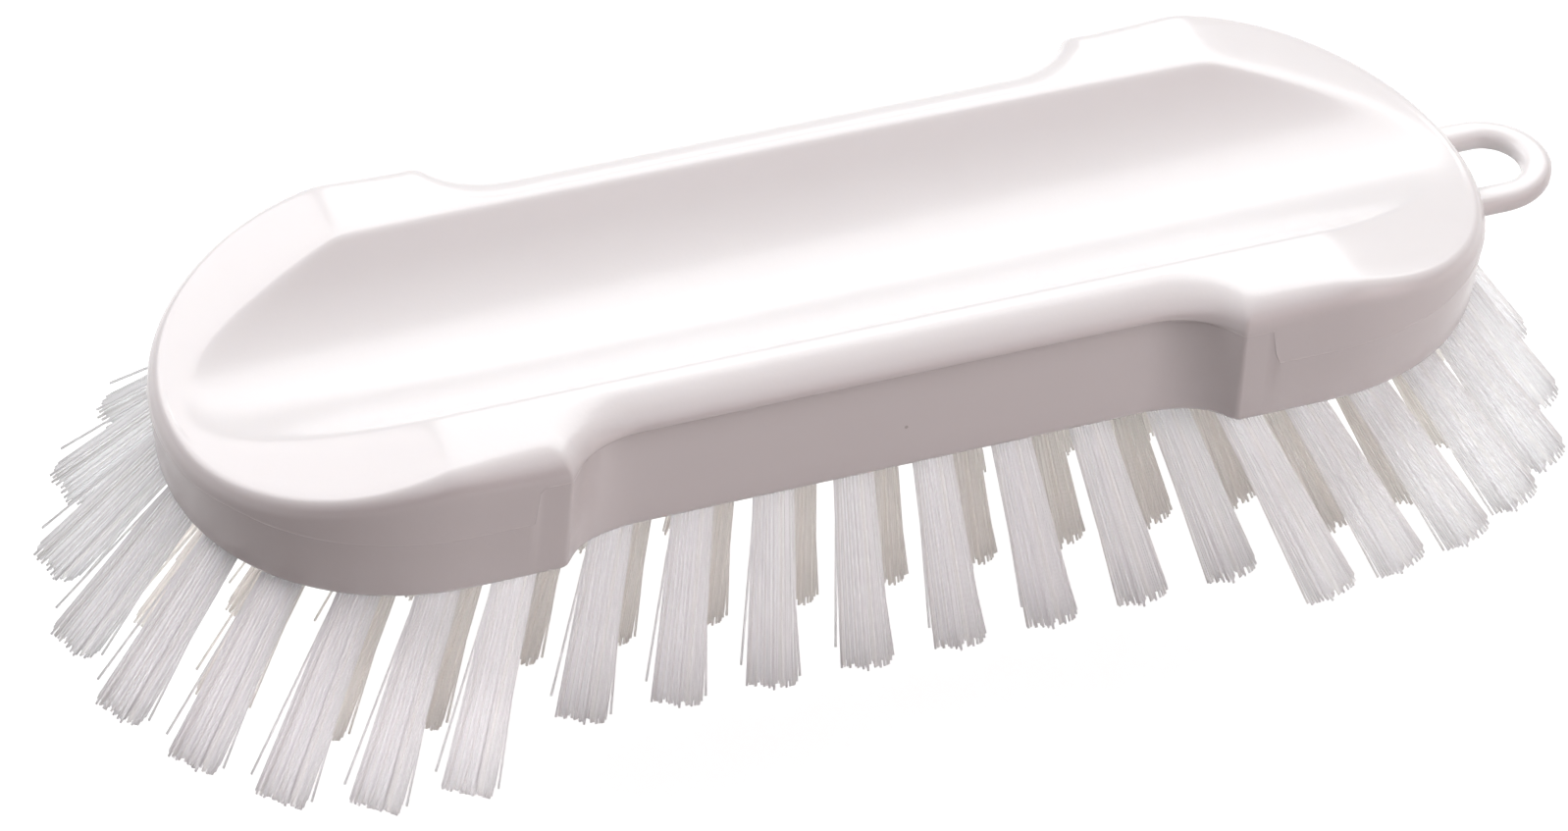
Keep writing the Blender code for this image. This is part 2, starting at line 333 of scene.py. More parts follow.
class Value:
    """An output socket that can be used in sums."""

    def __init__(self, tree, socket):
        self.tree = tree
        self.socket = socket

    def sum(self, operation, first, second):
        return self.tree.value("ShaderNodeMath", {"operation": operation}, {0: first, 1: second})

    def __add__(self, other):
        return self.sum("ADD", self, other)

    def __radd__(self, other):
        return self.sum("ADD", other, self)

    def __sub__(self, other):
        return self.sum("SUBTRACT", self, other)

    def __rsub__(self, other):
        return self.sum("SUBTRACT", other, self)

    def __mul__(self, other):
        return self.sum("MULTIPLY", self, other)

    def __rmul__(self, other):
        return self.sum("MULTIPLY", other, self)

    def __truediv__(self, other):
        return self.sum("DIVIDE", self, other)

    def __rtruediv__(self, other):
        return self.sum("DIVIDE", other, self)

    def __lt__(self, other):
        return self.sum("LESS_THAN", self, other)

    def __gt__(self, other):
        return self.sum("GREATER_THAN", self, other)

    def __pow__(self, exponent):
        return self.sum("POWER", self, exponent)


class Tree:
    """Adds nodes to a shader tree or a geometry tree."""

    def __init__(self, tree):
        self.tree = tree

    def fill(self, node, inputs):
        """Gives a node's sockets their links or values."""
        for key, given in inputs.items():
            if isinstance(given, Value):
                self.tree.links.new(given.socket, node.inputs[key])
            else:
                node.inputs[key].default_value = given

    def node(self, kind, settings=None, inputs=None):
        """A node, with its settings made before its sockets are filled."""
        made = self.tree.nodes.new(kind)
        for name, setting in (settings or {}).items():
            setattr(made, name, setting)
        self.fill(made, inputs or {})
        return made

    def value(self, kind, settings=None, inputs=None, output=0):
        return Value(self, self.node(kind, settings, inputs).outputs[output])

    def mixed_colour(self, factor, first, second):
        return self.value("ShaderNodeMix", {"data_type": "RGBA"}, {0: factor, 6: first, 7: second}, 2)

    def vector(self, operation, first, second):
        return self.value("ShaderNodeVectorMath", {"operation": operation}, {0: first, 1: second})

    def scaled(self, vector, scale):
        return self.value("ShaderNodeVectorMath", {"operation": "SCALE"}, {0: vector, "Scale": scale})


# ---------------------------------------------------------------- outline of the block


def bow_point(turn, inset):
    """A point of the rounded end, at a turn from its tip."""
    reach = half_length - bow_x - inset
    side = half_width - inset
    x = bow_x + reach * math.cos(turn) ** (2 / bow_power)
    return x, side * math.sin(turn) ** (2 / bow_power)


def outline_samples():
    """Where the samples of a quarter outline lie, from the tip of an end to the middle of the waist."""
    fine = [bow_point(math.pi / 2 * step / fine_steps, 0) for step in range(fine_steps + 1)]
    travelled = [0]
    for before, after in zip(fine, fine[1:]):
        travelled.append(travelled[-1] + math.dist(before, after))
    samples = []
    index = 0
    for number in range(bow_samples):
        wanted = travelled[-1] * number / bow_samples
        while travelled[index + 1] < wanted:
            index += 1
        share = (wanted - travelled[index]) / (travelled[index + 1] - travelled[index])
        samples.append(("bow", (index + share) / fine_steps))
    counts = (("side", side_samples), ("corner", corner_samples), ("flank", flank_samples))
    counts += (("fillet", fillet_samples), ("waist", waist_samples))
    for kind, count in counts:
        samples += [(kind, number / count) for number in range(count)]
    samples.append(("waist", 1))
    return samples


def outline_point(kind, share, inset, end):
    """A point of the quarter outline, moved inwards by an inset without crossing its neighbours."""
    if kind == "bow":
        return bow_point(math.pi / 2 * share, inset)
    side_y = half_width - inset
    corner_x = shoulder_xs[end] + inset * math.tan(flank_angle / 2)
    rounding = corner_radius + corner_growth_share * inset
    centre_x = corner_x + rounding * math.tan(flank_angle / 2)
    centre_y = side_y - rounding
    if kind == "side":
        return bow_x + share * (centre_x - bow_x), side_y
    if kind == "corner":
        turn = share * flank_angle
        return centre_x - rounding * math.sin(turn), centre_y + rounding * math.cos(turn)
    foot_y = waist_half_width - inset
    foot_x = corner_x - (side_y - foot_y) / math.tan(flank_angle)
    fillet = flank_fillet + fillet_growth_share * inset
    arc_x = foot_x - fillet * math.tan(flank_angle / 2)
    if kind == "flank":
        start_x = centre_x - rounding * math.sin(flank_angle)
        start_y = centre_y + rounding * math.cos(flank_angle)
        finish_x = arc_x + fillet * math.sin(flank_angle)
        finish_y = foot_y + fillet * (1 - math.cos(flank_angle))
        point = Vector((start_x, start_y)).lerp(Vector((finish_x, finish_y)), share)
        return point.x, point.y
    if kind == "fillet":
        turn = flank_angle * (1 - share)
        return arc_x + fillet * math.sin(turn), foot_y + fillet * (1 - math.cos(turn))
    return arc_x * (1 - share), foot_y


def waist_share(kind, share):
    """How far the rim has changed from its shape at a shoulder to its shape in the waist."""
    return smooth_step(waist_start_shares[kind] + waist_span_shares[kind] * share)


def lip_share(kind, share):
    """How deep the lip stands over the wall: fully in the waist, and fading out round the fillet."""
    if kind == "fillet":
        return smooth_step(share / lip_fade_share)
    return 1 if kind == "waist" else 0


def line_share(kind, x, end):
    """How far the mould line has risen to the height of the lip."""
    if kind not in ("bow", "side"):
        return 1
    near, far = (shoulder_xs[end] + gap for gap in line_rise_gaps)
    return smooth_step((near - x) / (near - far))


# ---------------------------------------------------------------- crown and trough


def crown(x):
    """Height of the crown, flat in the middle and sloping at the ends with a soft crease."""
    past = abs(x) - crown_x
    return block_height - crown_slope * (past + math.hypot(past, crease_softness)) / 2


def top_height(x, y):
    """Height of the crown or of the trough, whichever is lower, with a soft edge between them."""
    land = crown(x)
    trough = trough_axis - math.sqrt(max(trough_radius**2 - y * y, 0))
    return (land + trough) / 2 - math.hypot((land - trough) / 2, trough_softness)


def trough_edge():
    """The edge of the trough round a block end, from its tip to where it runs straight."""
    tip_x = crown_x + trough_depth / crown_slope
    points = []
    for step in range(fine_steps + 1):
        x = tip_x + (trough_turn_x - tip_x) * (step / fine_steps) ** 2
        rise = trough_axis - crown(x)
        points.append(Vector((x, math.sqrt(max(trough_radius**2 - rise * rise, 0)))))
    return points


edge_tip_x = trough_edge()[0].x


def along(points, share):
    """The point at a share of the length of a line of points."""
    lengths = [0]
    for before, after in zip(points, points[1:]):
        lengths.append(lengths[-1] + (after - before).length)
    wanted = share * lengths[-1]
    for index in range(len(points) - 1):
        if lengths[index + 1] >= wanted:
            part = (wanted - lengths[index]) / max(lengths[index + 1] - lengths[index], weld)
            return points[index].lerp(points[index + 1], min(part, 1))
    return points[-1]


def edge_points(samples, end):
    """For each sample of the outline, the point of the trough's edge that it is joined to."""
    bend = trough_edge()
    result = []
    side_end = outline_point("corner", 0, 0, end)[0]
    for number, (kind, share) in enumerate(samples):
        x = outline_point(kind, share, 0, end)[0]
        if kind == "bow":
            result.append(along(bend, number / bow_samples))
        elif kind == "side":
            stretch = (x - side_end) / (bow_x - side_end)
            edge_x = side_end + stretch * (bend[-1].x - side_end)
            result.append(Vector((edge_x, trough_half_width)))
        else:
            result.append(Vector((x, trough_half_width)))
    return result


def trough_track(start, edge):
    """Points over the land and down the trough, from the end of the rim to the middle of the block."""
    spine = Vector((min(edge.x, spine_end_x), 0))
    if edge.x > spine_turn_x:
        spread = (edge.x - spine_turn_x) / (edge_tip_x - spine_turn_x)
        spine.x = spine_turn_x + spread * (spine_end_x - spine_turn_x)
    outward = (start - edge).normalized() * trough_margin
    inward = (spine - edge).normalized() * trough_margin
    track = [start.lerp(edge + outward, part) for part in land_shares]
    track += [edge + outward, edge + outward / 2, edge, edge + inward / 2, edge + inward]
    track += [(edge + inward).lerp(spine, step / trough_rings) for step in range(1, trough_rings + 1)]
    return track


# ---------------------------------------------------------------- block


def wall_points(kind, share, end, rim_height):
    """The wall of one section: foot, draft, hollow under the lip, mould line and curl of the lip."""
    x = outline_point(kind, share, 0, end)[0]
    lip = lip_share(kind, share)
    lower = min(line_height, crown(x) - rim_height - rim_clearance)
    edge = line_width / 4
    curl = lip * lip_curl + edge
    hollow = lip * lip_hollow + edge
    top = crown(x) - rim_height
    line = lower + line_share(kind, x, end) * (lip_height - lower)
    line = min(line, top - edge - curl - (1 - lip) * rim_clearance)
    under = lip * lip_depth
    draft = end_draft + lip * (waist_draft - end_draft)
    points = []

    def add(inset, height):
        slope = draft * max(1 - height / line, 0)
        px, py = outline_point(kind, share, inset + slope - lip * lip_reach, end)
        points.append((px, py, height))

    for ring in range(foot_rings):
        turn = math.pi / 2 * ring / foot_rings
        add(under + foot_radius * (1 - math.sin(turn)), foot_radius * (1 - math.cos(turn)))
    below = line - hollow - edge
    for part in (0, *wall_shares, 1):
        add(under, foot_radius + part * (below - foot_radius))
    for ring in range(1, curl_rings + 1):
        turn = math.pi / 2 * ring / curl_rings
        add(under - under / 2 * (1 - math.cos(turn)), below + hollow * math.sin(turn))
    add(under / 2 - (1 - lip) * line_relief, line)
    above = line + edge
    for ring in range(1, curl_rings + 1):
        turn = math.pi / 2 * ring / curl_rings
        add(under / 2 * (1 - math.sin(turn)), above + curl * (1 - math.cos(turn)))
    add(0, (above + curl + top) / 2)
    return points


def profile(kind, share, edge, end):
    """One section of the block, from the rim of its underside to the middle of the trough."""
    x = outline_point(kind, share, 0, end)[0]
    swell = smooth_step((rim_change_x - x) / (rim_change_x - shoulder_xs[end]))
    waist = waist_share(kind, share)

    def rim(sizes):
        tip, shoulder, middle = sizes
        size = tip + swell * (shoulder - tip)
        return size + waist * (middle - size)

    rim_width = rim(rim_widths)
    rim_height = rim(rim_heights)
    power = rim(rim_powers)
    reach = lip_share(kind, share) * lip_reach
    points = wall_points(kind, share, end, rim_height)
    for ring in range(rim_rings + 1):
        turn = math.pi / 2 * ring / rim_rings
        inset = (rim_width + reach) * (1 - math.cos(turn) ** (2 / power)) - reach
        px, py = outline_point(kind, share, inset, end)
        height = crown(px) - rim_height * (1 - math.sin(turn) ** (2 / power))
        points.append((px, py, height))
    for point in trough_track(Vector(points[-1][:2]), edge):
        points.append((point.x, point.y, top_height(point.x, point.y)))
    return points


def quarter_sections(end):
    """Sections from the tip of a block end to the middle of the waist."""
    samples = outline_samples()
    edges = edge_points(samples, end)
    return [profile(kind, share, edge, end) for (kind, share), edge in zip(samples, edges)]


def block_mesh():
    """The block without its loop and its holes, lofted through sections all the way round."""
    quarter = quarter_sections("right")
    left = [[(-x, y, z) for x, y, z in section] for section in reversed(quarter_sections("left")[:-1])]
    far = quarter + left
    near = [[(x, -y, z) for x, y, z in section] for section in reversed(far[1:-1])]
    work = bmesh.new()
    columns = []
    for section in far + near:
        columns.append([work.verts.new((x, y, z + stand_height)) for x, y, z in section])
    for index, column in enumerate(columns):
        after = columns[(index + 1) % len(columns)]
        for ring in range(len(column) - 1):
            work.faces.new((column[ring], after[ring], after[ring + 1], column[ring + 1]))
    work.faces.new([column[0] for column in reversed(columns)])
    bmesh.ops.remove_doubles(work, verts=work.verts, dist=weld)
    bmesh.ops.dissolve_degenerate(work, edges=work.edges, dist=weld)
    return closed_mesh(work, "block_shell")


def loop_mesh():
    """The hanging loop: a rounded band with its legs let into the end of the block."""
    outer_x = loop_outer_x - loop_reach
    inner_x = loop_outer_x - loop_band - hole_reach
    inner_half = loop_half_width - loop_band
    root_x = half_length - loop_root_depth
    tracks = []
    for step in range(loop_steps + 1):
        turn = math.pi * (step / loop_steps - 1 / 2)
        outer = Vector((outer_x + loop_reach * math.cos(turn), loop_half_width * math.sin(turn)))
        inner = Vector((inner_x + hole_reach * math.cos(turn), inner_half * math.sin(turn)))
        tracks.append((outer, inner))
    legs = []
    for side in (-1, 1):
        legs.append((Vector((root_x, side * loop_half_width)), Vector((root_x, side * inner_half))))
    tracks = [legs[0]] + tracks + [legs[1]]
    middle = stand_height + (loop_top + loop_bottom) / 2
    half_height = (loop_top - loop_bottom) / 2
    work = bmesh.new()
    rings = []
    for outer, inner in tracks:
        ring = []
        for side in range(loop_sides):
            turn = 2 * math.pi * side / loop_sides
            across = math.cos(turn)
            rise = math.sin(turn)
            power = loop_top_power if rise > 0 else loop_bottom_power
            share = math.copysign(abs(across) ** (2 / power), across)
            lift = math.copysign(abs(rise) ** (2 / power), rise)
            point = (outer + inner) / 2 + (outer - inner) / 2 * share
            ring.append(work.verts.new((point.x, point.y, middle + half_height * lift)))
        rings.append(ring)
    for before, after in zip(rings, rings[1:]):
        for side in range(loop_sides):
            beside = (side + 1) % loop_sides
            work.faces.new((before[side], before[beside], after[beside], after[side]))
    work.faces.new(rings[0])
    work.faces.new(rings[-1])
    return closed_mesh(work, "loop")


def hole_mesh(places):
    """The slanted holes of the tufts, as cylinders that stand out of the underside."""
    work = bmesh.new()
    for x, y in places:
        root, axis = tuft_axis(x, y)[:2]
        start = root - hole_depth * axis
        finish = root + hole_overrun * axis
        turn = Vector((0, 0, 1)).rotation_difference(axis).to_matrix().to_4x4()
        bmesh.ops.create_cone(
            work,
            cap_ends=True,
            segments=hole_sides,
            radius1=hole_radius,
            radius2=hole_radius,
            depth=(finish - start).length,
            matrix=Matrix.Translation((start + finish) / 2) @ turn,
        )
    return closed_mesh(work, "holes")


def make_block(places, group, material):
    """The whole block: the loop joined on and the holes cut out."""
    shell = put("block_shell", block_mesh(), group)
    shell.data.transform(Matrix.Translation(centre_shift))
    loop = put("loop", loop_mesh(), group)
    loop.data.transform(Matrix.Translation(centre_shift))
    holes = put("holes", hole_mesh(places), group)
    for other, operation in ((loop, "UNION"), (holes, "DIFFERENCE")):
        modifier = shell.modifiers.new(operation.lower(), "BOOLEAN")
        modifier.operation = operation
        modifier.solver = "EXACT"
        modifier.object = other
    data = evaluated(shell)
    shell.modifiers.clear()
    shell.data = data
    drop(loop)
    drop(holes)
    data.materials.clear()
    data.materials.append(material)
    data.shade_smooth()
    data.set_sharp_from_angle(angle=sharp_angle)
    return shell


# ---------------------------------------------------------------- places of the tufts


def along_ring(inset, pitch, count):
    """Points round a block end at equal steps from its tip."""
    fine = [Vector(bow_point(math.pi / 2 * step / fine_steps, inset)) for step in range(fine_steps + 1)]
    fine.append(Vector((0, half_width - inset)))
    found = [fine[0].copy()]
    travelled = 0
    wanted = pitch
    for before, after in zip(fine, fine[1:]):
        stretch = (after - before).length
        while travelled + stretch >= wanted and len(found) <= count:
            found.append(before.lerp(after, (wanted - travelled) / stretch))
            wanted += pitch
        travelled += stretch
    return [(point.x, point.y) for point in found]


def single_tufts():
    """Names and places of the outer tufts, each a piece of its own."""
    found = []
    for end, sign in (("left", -1), ("right", 1)):
        ring = along_ring(ring_inset, ring_pitches[end], side_counts[end])
        order = ring[:0:-1] + [(x, -y) for x, y in ring]
        for number, (x, y) in enumerate(order, 1):
            found.append((f"tuft_{end}_{number}", [(sign * x, y)]))
    for side, sign in (("near", -1), ("far", 1)):
        for number in range(row_count):
            x = row_start_x + number * row_pitch
            found.append((f"tuft_{side}_{number + 1}", [(x, sign * outer_row_y)]))
    return found


def grouped_tufts():
    """Names and places of the inner tufts, in groups."""
    found = []
    for side, sign in (("near", -1), ("far", 1)):
        xs = [inner_row_start_x + number * inner_row_pitch for number in range(inner_row_count)]
        found.append((f"inner_row_{side}", [(x, sign * inner_row_y) for x in xs]))
    middle = [(row_start_x + number * row_pitch, 0) for number in range(-1, row_count + 1)]
    found.append(("centre_row", middle))
    ring = along_ring(inner_ring_inset, inner_ring_pitch, inner_ring_count)
    tip_x = ring[0][0]
    beside = ring[1]
    for end, sign in (("left", -1), ("right", 1)):
        for side, turn in (("near", -1), ("far", 1)):
            found.append((f"inner_pair_{end}_{side}", [(sign * x, turn * y) for x, y in ring[2:]]))
        tip = [(beside[0], beside[1]), (tip_x, 0), (beside[0], -beside[1])]
        found.append((f"inner_tip_{end}", [(sign * x, y) for x, y in tip]))
        trio = [(trio_near_x, trio_near_y), (trio_tip_x, 0), (trio_near_x, -trio_near_y)]
        found.append((f"inner_trio_{end}", [(sign * x, y) for x, y in trio]))
    return found


def tuft_axis(x, y):
    """The root of a tuft on the underside, its direction and two directions square to it."""
    ease = (x / half_length) ** 2
    out_x = lean_shares[0] * x * (1 + ease_shares[0] * ease) - lean_left
    out_y = lean_shares[1] * y * (1 + ease_shares[1] * ease)
    down = -math.sqrt(filament_length**2 - out_x**2 - out_y**2)
    root = Vector((x, y, stand_height)) + centre_shift
    axis = Vector((out_x, out_y, down)).normalized()
    across = axis.cross(Vector((0, 1, 0))).normalized()
    return root, axis, across, axis.cross(across)


def tuft_lightness_and_painted_shade(name):
    """How light one tuft is, from its name, with painted shade darkening the far tufts and the far side
    of each end.
    """
    side, _, number = name.removeprefix("tuft_").partition("_")
    if side in end_painted_shade:
        start, finish = end_painted_shade[side]
        share = (int(number) - 1) / (2 * side_counts[side])
        return start + (finish - start) * share ** painted_shade_powers[side]
    return far_painted_shade if side == "far" else plain_lightness


# ---------------------------------------------------------------- bristles


def filament_tree():
    """A geometry tree that fans filaments out of each root point that it is given."""
    group = bpy.data.node_groups.new("filaments", "GeometryNodeTree")
    sizes = ("Packed radius", "Packed sink", "Fan", "Filament radius", "Ragged length")
    sizes += ("Tip wander", "Bend", "Stray share", "Stray reach")
    sockets = [("Geometry", "NodeSocketGeometry"), ("Filaments", "NodeSocketInt")]
    sockets += [(name, "NodeSocketFloat") for name in sizes]
    sockets += [("Material", "NodeSocketMaterial")]
    for name, kind in sockets:
        group.interface.new_socket(name, in_out="INPUT", socket_type=kind)
    group.interface.new_socket("Geometry", in_out="OUTPUT", socket_type="NodeSocketGeometry")
    tree = Tree(group)
    given = tree.node("NodeGroupInput")

    def size(name):
        return Value(tree, given.outputs[name])

    def own(name, kind):
        return tree.value("GeometryNodeInputNamedAttribute", {"data_type": kind}, {"Name": name})

    def stored(geometry, name, kind, field):
        settings = {"data_type": kind, "domain": "POINT"}
        inputs = {"Geometry": geometry, "Name": name, "Value": field}
        return tree.value("GeometryNodeStoreNamedAttribute", settings, inputs)

    def chance(name, low, high):
        inputs = {2: low, 3: high, "ID": identity, "Seed": seeds[name]}
        return tree.value("FunctionNodeRandomValue", {"data_type": "FLOAT"}, inputs, 1)

    def moved(start, *steps):
        for step in steps:
            start = tree.vector("ADD", start, step)
        return start

    # A point for each filament
    inputs = {"Geometry": size("Geometry"), "Amount": size("Filaments")}
    spots = tree.node("GeometryNodeDuplicateElements", {"domain": "POINT"}, inputs)
    number = Value(tree, spots.outputs["Duplicate Index"])
    serial = own("serial", "INT")
    identity = serial * numbers_a_tuft + number
    axis = own("axis", "FLOAT_VECTOR")
    across = own("across", "FLOAT_VECTOR")
    square = own("square", "FLOAT_VECTOR")

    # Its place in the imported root
    spoke = size("Packed radius") * ((number + 0.5) / size("Filaments")) ** 0.5
    turn = number * golden_turn + serial * tuft_turn
    cosine = tree.value("ShaderNodeMath", {"operation": "COSINE"}, {0: turn})
    sine = tree.value("ShaderNodeMath", {"operation": "SINE"}, {0: turn})
    outward = moved(tree.scaled(across, cosine), tree.scaled(square, sine))
    root = tree.value("GeometryNodeInputPosition")
    base = moved(root, tree.scaled(outward, spoke))
    base = tree.vector("SUBTRACT", base, tree.scaled(axis, size("Packed sink")))

    # Its tip
    length = own("reach", "FLOAT") + size("Ragged length") * (chance("ragged", -1.0, 1.0) - 1) * 0.5
    stray = chance("stray", 0.0, 1.0) < size("Stray share")
    push = spoke * size("Fan")
    push = push + stray * size("Stray reach") * chance("stray_reach", least_stray_share, 1.0)
    wander_across = size("Tip wander") * chance("wander_across", -1.0, 1.0)
    wander_square = size("Tip wander") * chance("wander_square", -1.0, 1.0)
    tip = moved(root, tree.scaled(outward, push), tree.scaled(axis, length))
    tip = moved(tip, tree.scaled(across, wander_across), tree.scaled(square, wander_square))

    # What the filament needs to know of it
    run = tree.vector("SUBTRACT", tip, base)
    span = tree.value("ShaderNodeVectorMath", {"operation": "LENGTH"}, {0: run}, "Value")
    bend_across = size("Bend") * chance("bend_across", -1.0, 1.0)
    bend_square = size("Bend") * chance("bend_square", -1.0, 1.0)
    bend = moved(tree.scaled(across, bend_across), tree.scaled(square, bend_square))
    marked = Value(tree, spots.outputs["Geometry"])
    marked = stored(marked, "base", "FLOAT_VECTOR", base)
    marked = stored(marked, "run", "FLOAT_VECTOR", run)
    marked = stored(marked, "span", "FLOAT", span)
    marked = stored(marked, "bend", "FLOAT_VECTOR", bend)
    marked = stored(marked, "tone", "FLOAT", chance("tone", 0.0, 1.0))
    inputs = {"Geometry": marked, "Position": own("base", "FLOAT_VECTOR")}
    placed = tree.value("GeometryNodeSetPosition", {}, inputs)

    # A filament one metre long and wide, scaled to its length and width
    inputs = {"Vertices": filament_sides, "Side Segments": filament_segments, "Radius": 1, "Depth": 1}
    unit = tree.value("GeometryNodeMeshCylinder", {"fill_type": "NGON"}, inputs)
    unit = tree.value("GeometryNodeTransform", {}, {"Geometry": unit, "Translation": (0, 0, 0.5)})
    place = tree.value("GeometryNodeInputPosition")
    height = tree.value("ShaderNodeSeparateXYZ", {}, {0: place}, "Z")
    unit = stored(unit, "height", "FLOAT", height)
    inputs = {"Vector": own("run", "FLOAT_VECTOR")}
    aim = tree.value("FunctionNodeAlignRotationToVector", {"axis": "Z"}, inputs)
    thick = size("Filament radius")
    stretch = tree.value("ShaderNodeCombineXYZ", {}, {"X": thick, "Y": thick, "Z": own("span", "FLOAT")})
    inputs = {"Points": placed, "Instance": unit, "Rotation": aim, "Scale": stretch}
    strands = tree.value("GeometryNodeInstanceOnPoints", {}, inputs)
    real = tree.value("GeometryNodeRealizeInstances", {}, {"Geometry": strands})

    # Its bend, growing towards the tip
    height = own("height", "FLOAT")
    sweep = tree.scaled(own("bend", "FLOAT_VECTOR"), height * height)
    bent = tree.value("GeometryNodeSetPosition", {}, {"Geometry": real, "Offset": sweep})
    smooth = tree.value("GeometryNodeSetShadeSmooth", {}, {"Geometry": bent, "Shade Smooth": True})
    inputs = {"Geometry": smooth, "Material": size("Material")}
    finished = tree.value("GeometryNodeSetMaterial", {}, inputs)
    tree.node("NodeGroupOutput", {}, {"Geometry": finished})
    return group


def root_points(name, places, serial):
    """One point for each tuft, which carries the tuft's direction, length and lightness, the lightness
    holding painted shade on the far tufts.
    """
    data = bpy.data.meshes.new(name)
    axes = [tuft_axis(x, y) for x, y in places]
    data.from_pydata([axis[0] for axis in axes], [], [])
    for label, slot in (("axis", 1), ("across", 2), ("square", 3)):
        layer = data.attributes.new(label, "FLOAT_VECTOR", "POINT")
        for number, axis in enumerate(axes):
            layer.data[number].vector = axis[slot]
    reach = data.attributes.new("reach", "FLOAT", "POINT")
    count = data.attributes.new("serial", "INT", "POINT")
    lightness_and_painted_shade = data.attributes.new("lightness_and_painted_shade", "FLOAT", "POINT")
    for number, (root, axis, _, _) in enumerate(axes):
        spread = packed_radius * fan_share * math.hypot(axis.x, axis.y)
        room = (root.z - floor_gap - spread) / -axis.z
        reach.data[number].value = min(filament_length + length_changes.get(name, 0), room)
        count.data[number].value = serial + number
        # The lightness holds painted shade for the far tufts and the far sides of the ends.
        lightness_and_painted_shade.data[number].value = tuft_lightness_and_painted_shade(name)
    return data


def make_tufts(name, places, serial, tree, material, group):
    """The filaments of one piece, as a plain mesh."""
    holder = put(name + "_roots", root_points(name, places, serial), group)
    modifier = holder.modifiers.new("filaments", "NODES")
    modifier.node_group = tree
    values = {
        "Filaments": filament_count,
        "Packed radius": packed_radius,
        "Packed sink": packed_sink,
        "Fan": fan_share,
        "Filament radius": filament_radius,
        "Ragged length": ragged_length,
        "Tip wander": tip_wander,
        "Bend": bend_reach,
        "Stray share": stray_share,
        "Stray reach": stray_reach,
        "Material": material,
    }
    for socket in tree.interface.items_tree:
        if socket.in_out == "INPUT" and socket.name in values:
            modifier[socket.identifier] = values[socket.name]
    data = evaluated(holder)
    drop(holder)
    for label in ("base", "run", "span", "bend", "axis", "across", "square", "reach", "serial"):
        if label in data.attributes:
            data.attributes.remove(data.attributes[label])
    data.name = name + "_bristles"
    tuft = put(name + "_bristles", data, group)
    tuft.visible_shadow = False
    return tuft


# ---------------------------------------------------------------- finishes


def new_material(name):
    """A new material, its tree and its shader."""
    material = bpy.data.materials.new(name)
    material.use_nodes = True
    return material, Tree(material.node_tree), material.node_tree.nodes["Principled BSDF"]


def moulded_plastic():
    """Glossy white plastic, with faint clouds, specks, grain and rubbing along its length."""
    material, tree, shader = new_material("white_moulded_plastic")
    place = tree.value("ShaderNodeTexCoord", output="Object")

    def noise(scale, detail, where=place):
        inputs = {"Vector": where, "Scale": scale, "Detail": detail, "Roughness": noise_harshness}
        return tree.value("ShaderNodeTexNoise", {}, inputs)

    cells = tree.node("ShaderNodeTexVoronoi", {"feature": "F1"}, {"Vector": place, "Scale": speck_scale})
    draw = tree.value("ShaderNodeSeparateColor", {}, {0: Value(tree, cells.outputs["Color"])})
    speck = (Value(tree, cells.outputs["Distance"]) < speck_size) * (draw < speck_share)
    base = tree.mixed_colour(noise(cloud_scale, soft_detail), *plastic_tones)
    base = tree.mixed_colour(speck * speck_strength, base, speck_tone)
    stretched = tree.value("ShaderNodeMapping", {}, {"Vector": place, "Scale": rub_stretch})
    relief = noise(grain_scale, fine_detail) * relief_shares["grain"]
    relief = relief + noise(1, soft_detail, stretched) * relief_shares["rub"]
    relief = relief + noise(swell_scale, soft_detail) * relief_shares["swell"]
    relief = relief - speck * relief_shares["speck"]
    inputs = {"Strength": relief_strength, "Distance": relief_depth, "Height": relief}
    finish = {
        "Base Color": base,
        "Roughness": plastic_roughness + plastic_wear * noise(wear_scale, fine_detail),
        "Normal": tree.value("ShaderNodeBump", {}, inputs),
        "Subsurface Weight": plastic_depth_share,
        "Subsurface Radius": plastic_depth_reach,
        "Subsurface Scale": plastic_depth,
        "IOR": plastic_index,
    }
    tree.fill(shader, finish)
    return material


def nylon(name, tones):
    """Cloudy filaments that let light through, each with a tone of its own and a glossier tip."""
    light, cream, shadow = tones
    material, tree, shader = new_material(name)

    def own(label):
        return tree.value("ShaderNodeAttribute", {"attribute_name": label}, output="Fac")

    tone = own("tone")
    colour = tree.mixed_colour(tone, light, shadow)
    colour = tree.mixed_colour((tone > creamy_from) * creamy_strength, colour, cream)
    finish = {
        # The base colour is scaled by each tuft's lightness, which holds painted shade on the far tufts
        # and the far sides of the ends.
        "Base Color": tree.scaled(colour, own("lightness_and_painted_shade")),
        "Roughness": nylon_roughness + tone_roughness * tone - tip_gloss * own("height"),
        "Subsurface Weight": 1,
        "Subsurface Radius": (1, 1, 1),
        "Subsurface Scale": nylon_depth,
        "Transmission Weight": nylon_clear_share,
        "IOR": nylon_index,
    }
    tree.fill(shader, finish)
    return material


def pale_floor():
    """A faintly clouded near-white sheet that glows a little."""
    material, tree, shader = new_material("pale_floor")
    place = tree.value("ShaderNodeTexCoord", output="Object")
    inputs = {"Vector": place, "Scale": floor_scale, "Detail": soft_detail}
    cloud = tree.value("ShaderNodeTexNoise", {}, inputs)
    finish = {
        "Base Color": tree.mixed_colour(cloud, *floor_tones),
        "Roughness": floor_roughness,
        "Emission Color": (1, 1, 1, 1),
        "Emission Strength": floor_glow,
    }
    tree.fill(shader, finish)
    return material


# ---------------------------------------------------------------- studio


def make_floor(group):
    """The sheet that the brush stands on."""
    signs = ((-1, -1), (1, -1), (1, 1), (-1, 1))
    corners = [(x * floor_reach, y * floor_reach, 0) for x, y in signs]
    data = bpy.data.meshes.new("floor")
    data.from_pydata(corners, [], [(0, 1, 2, 3)])
    floor = put("floor", data, group)
    data.materials.append(pale_floor())
    floor.visible_diffuse = False


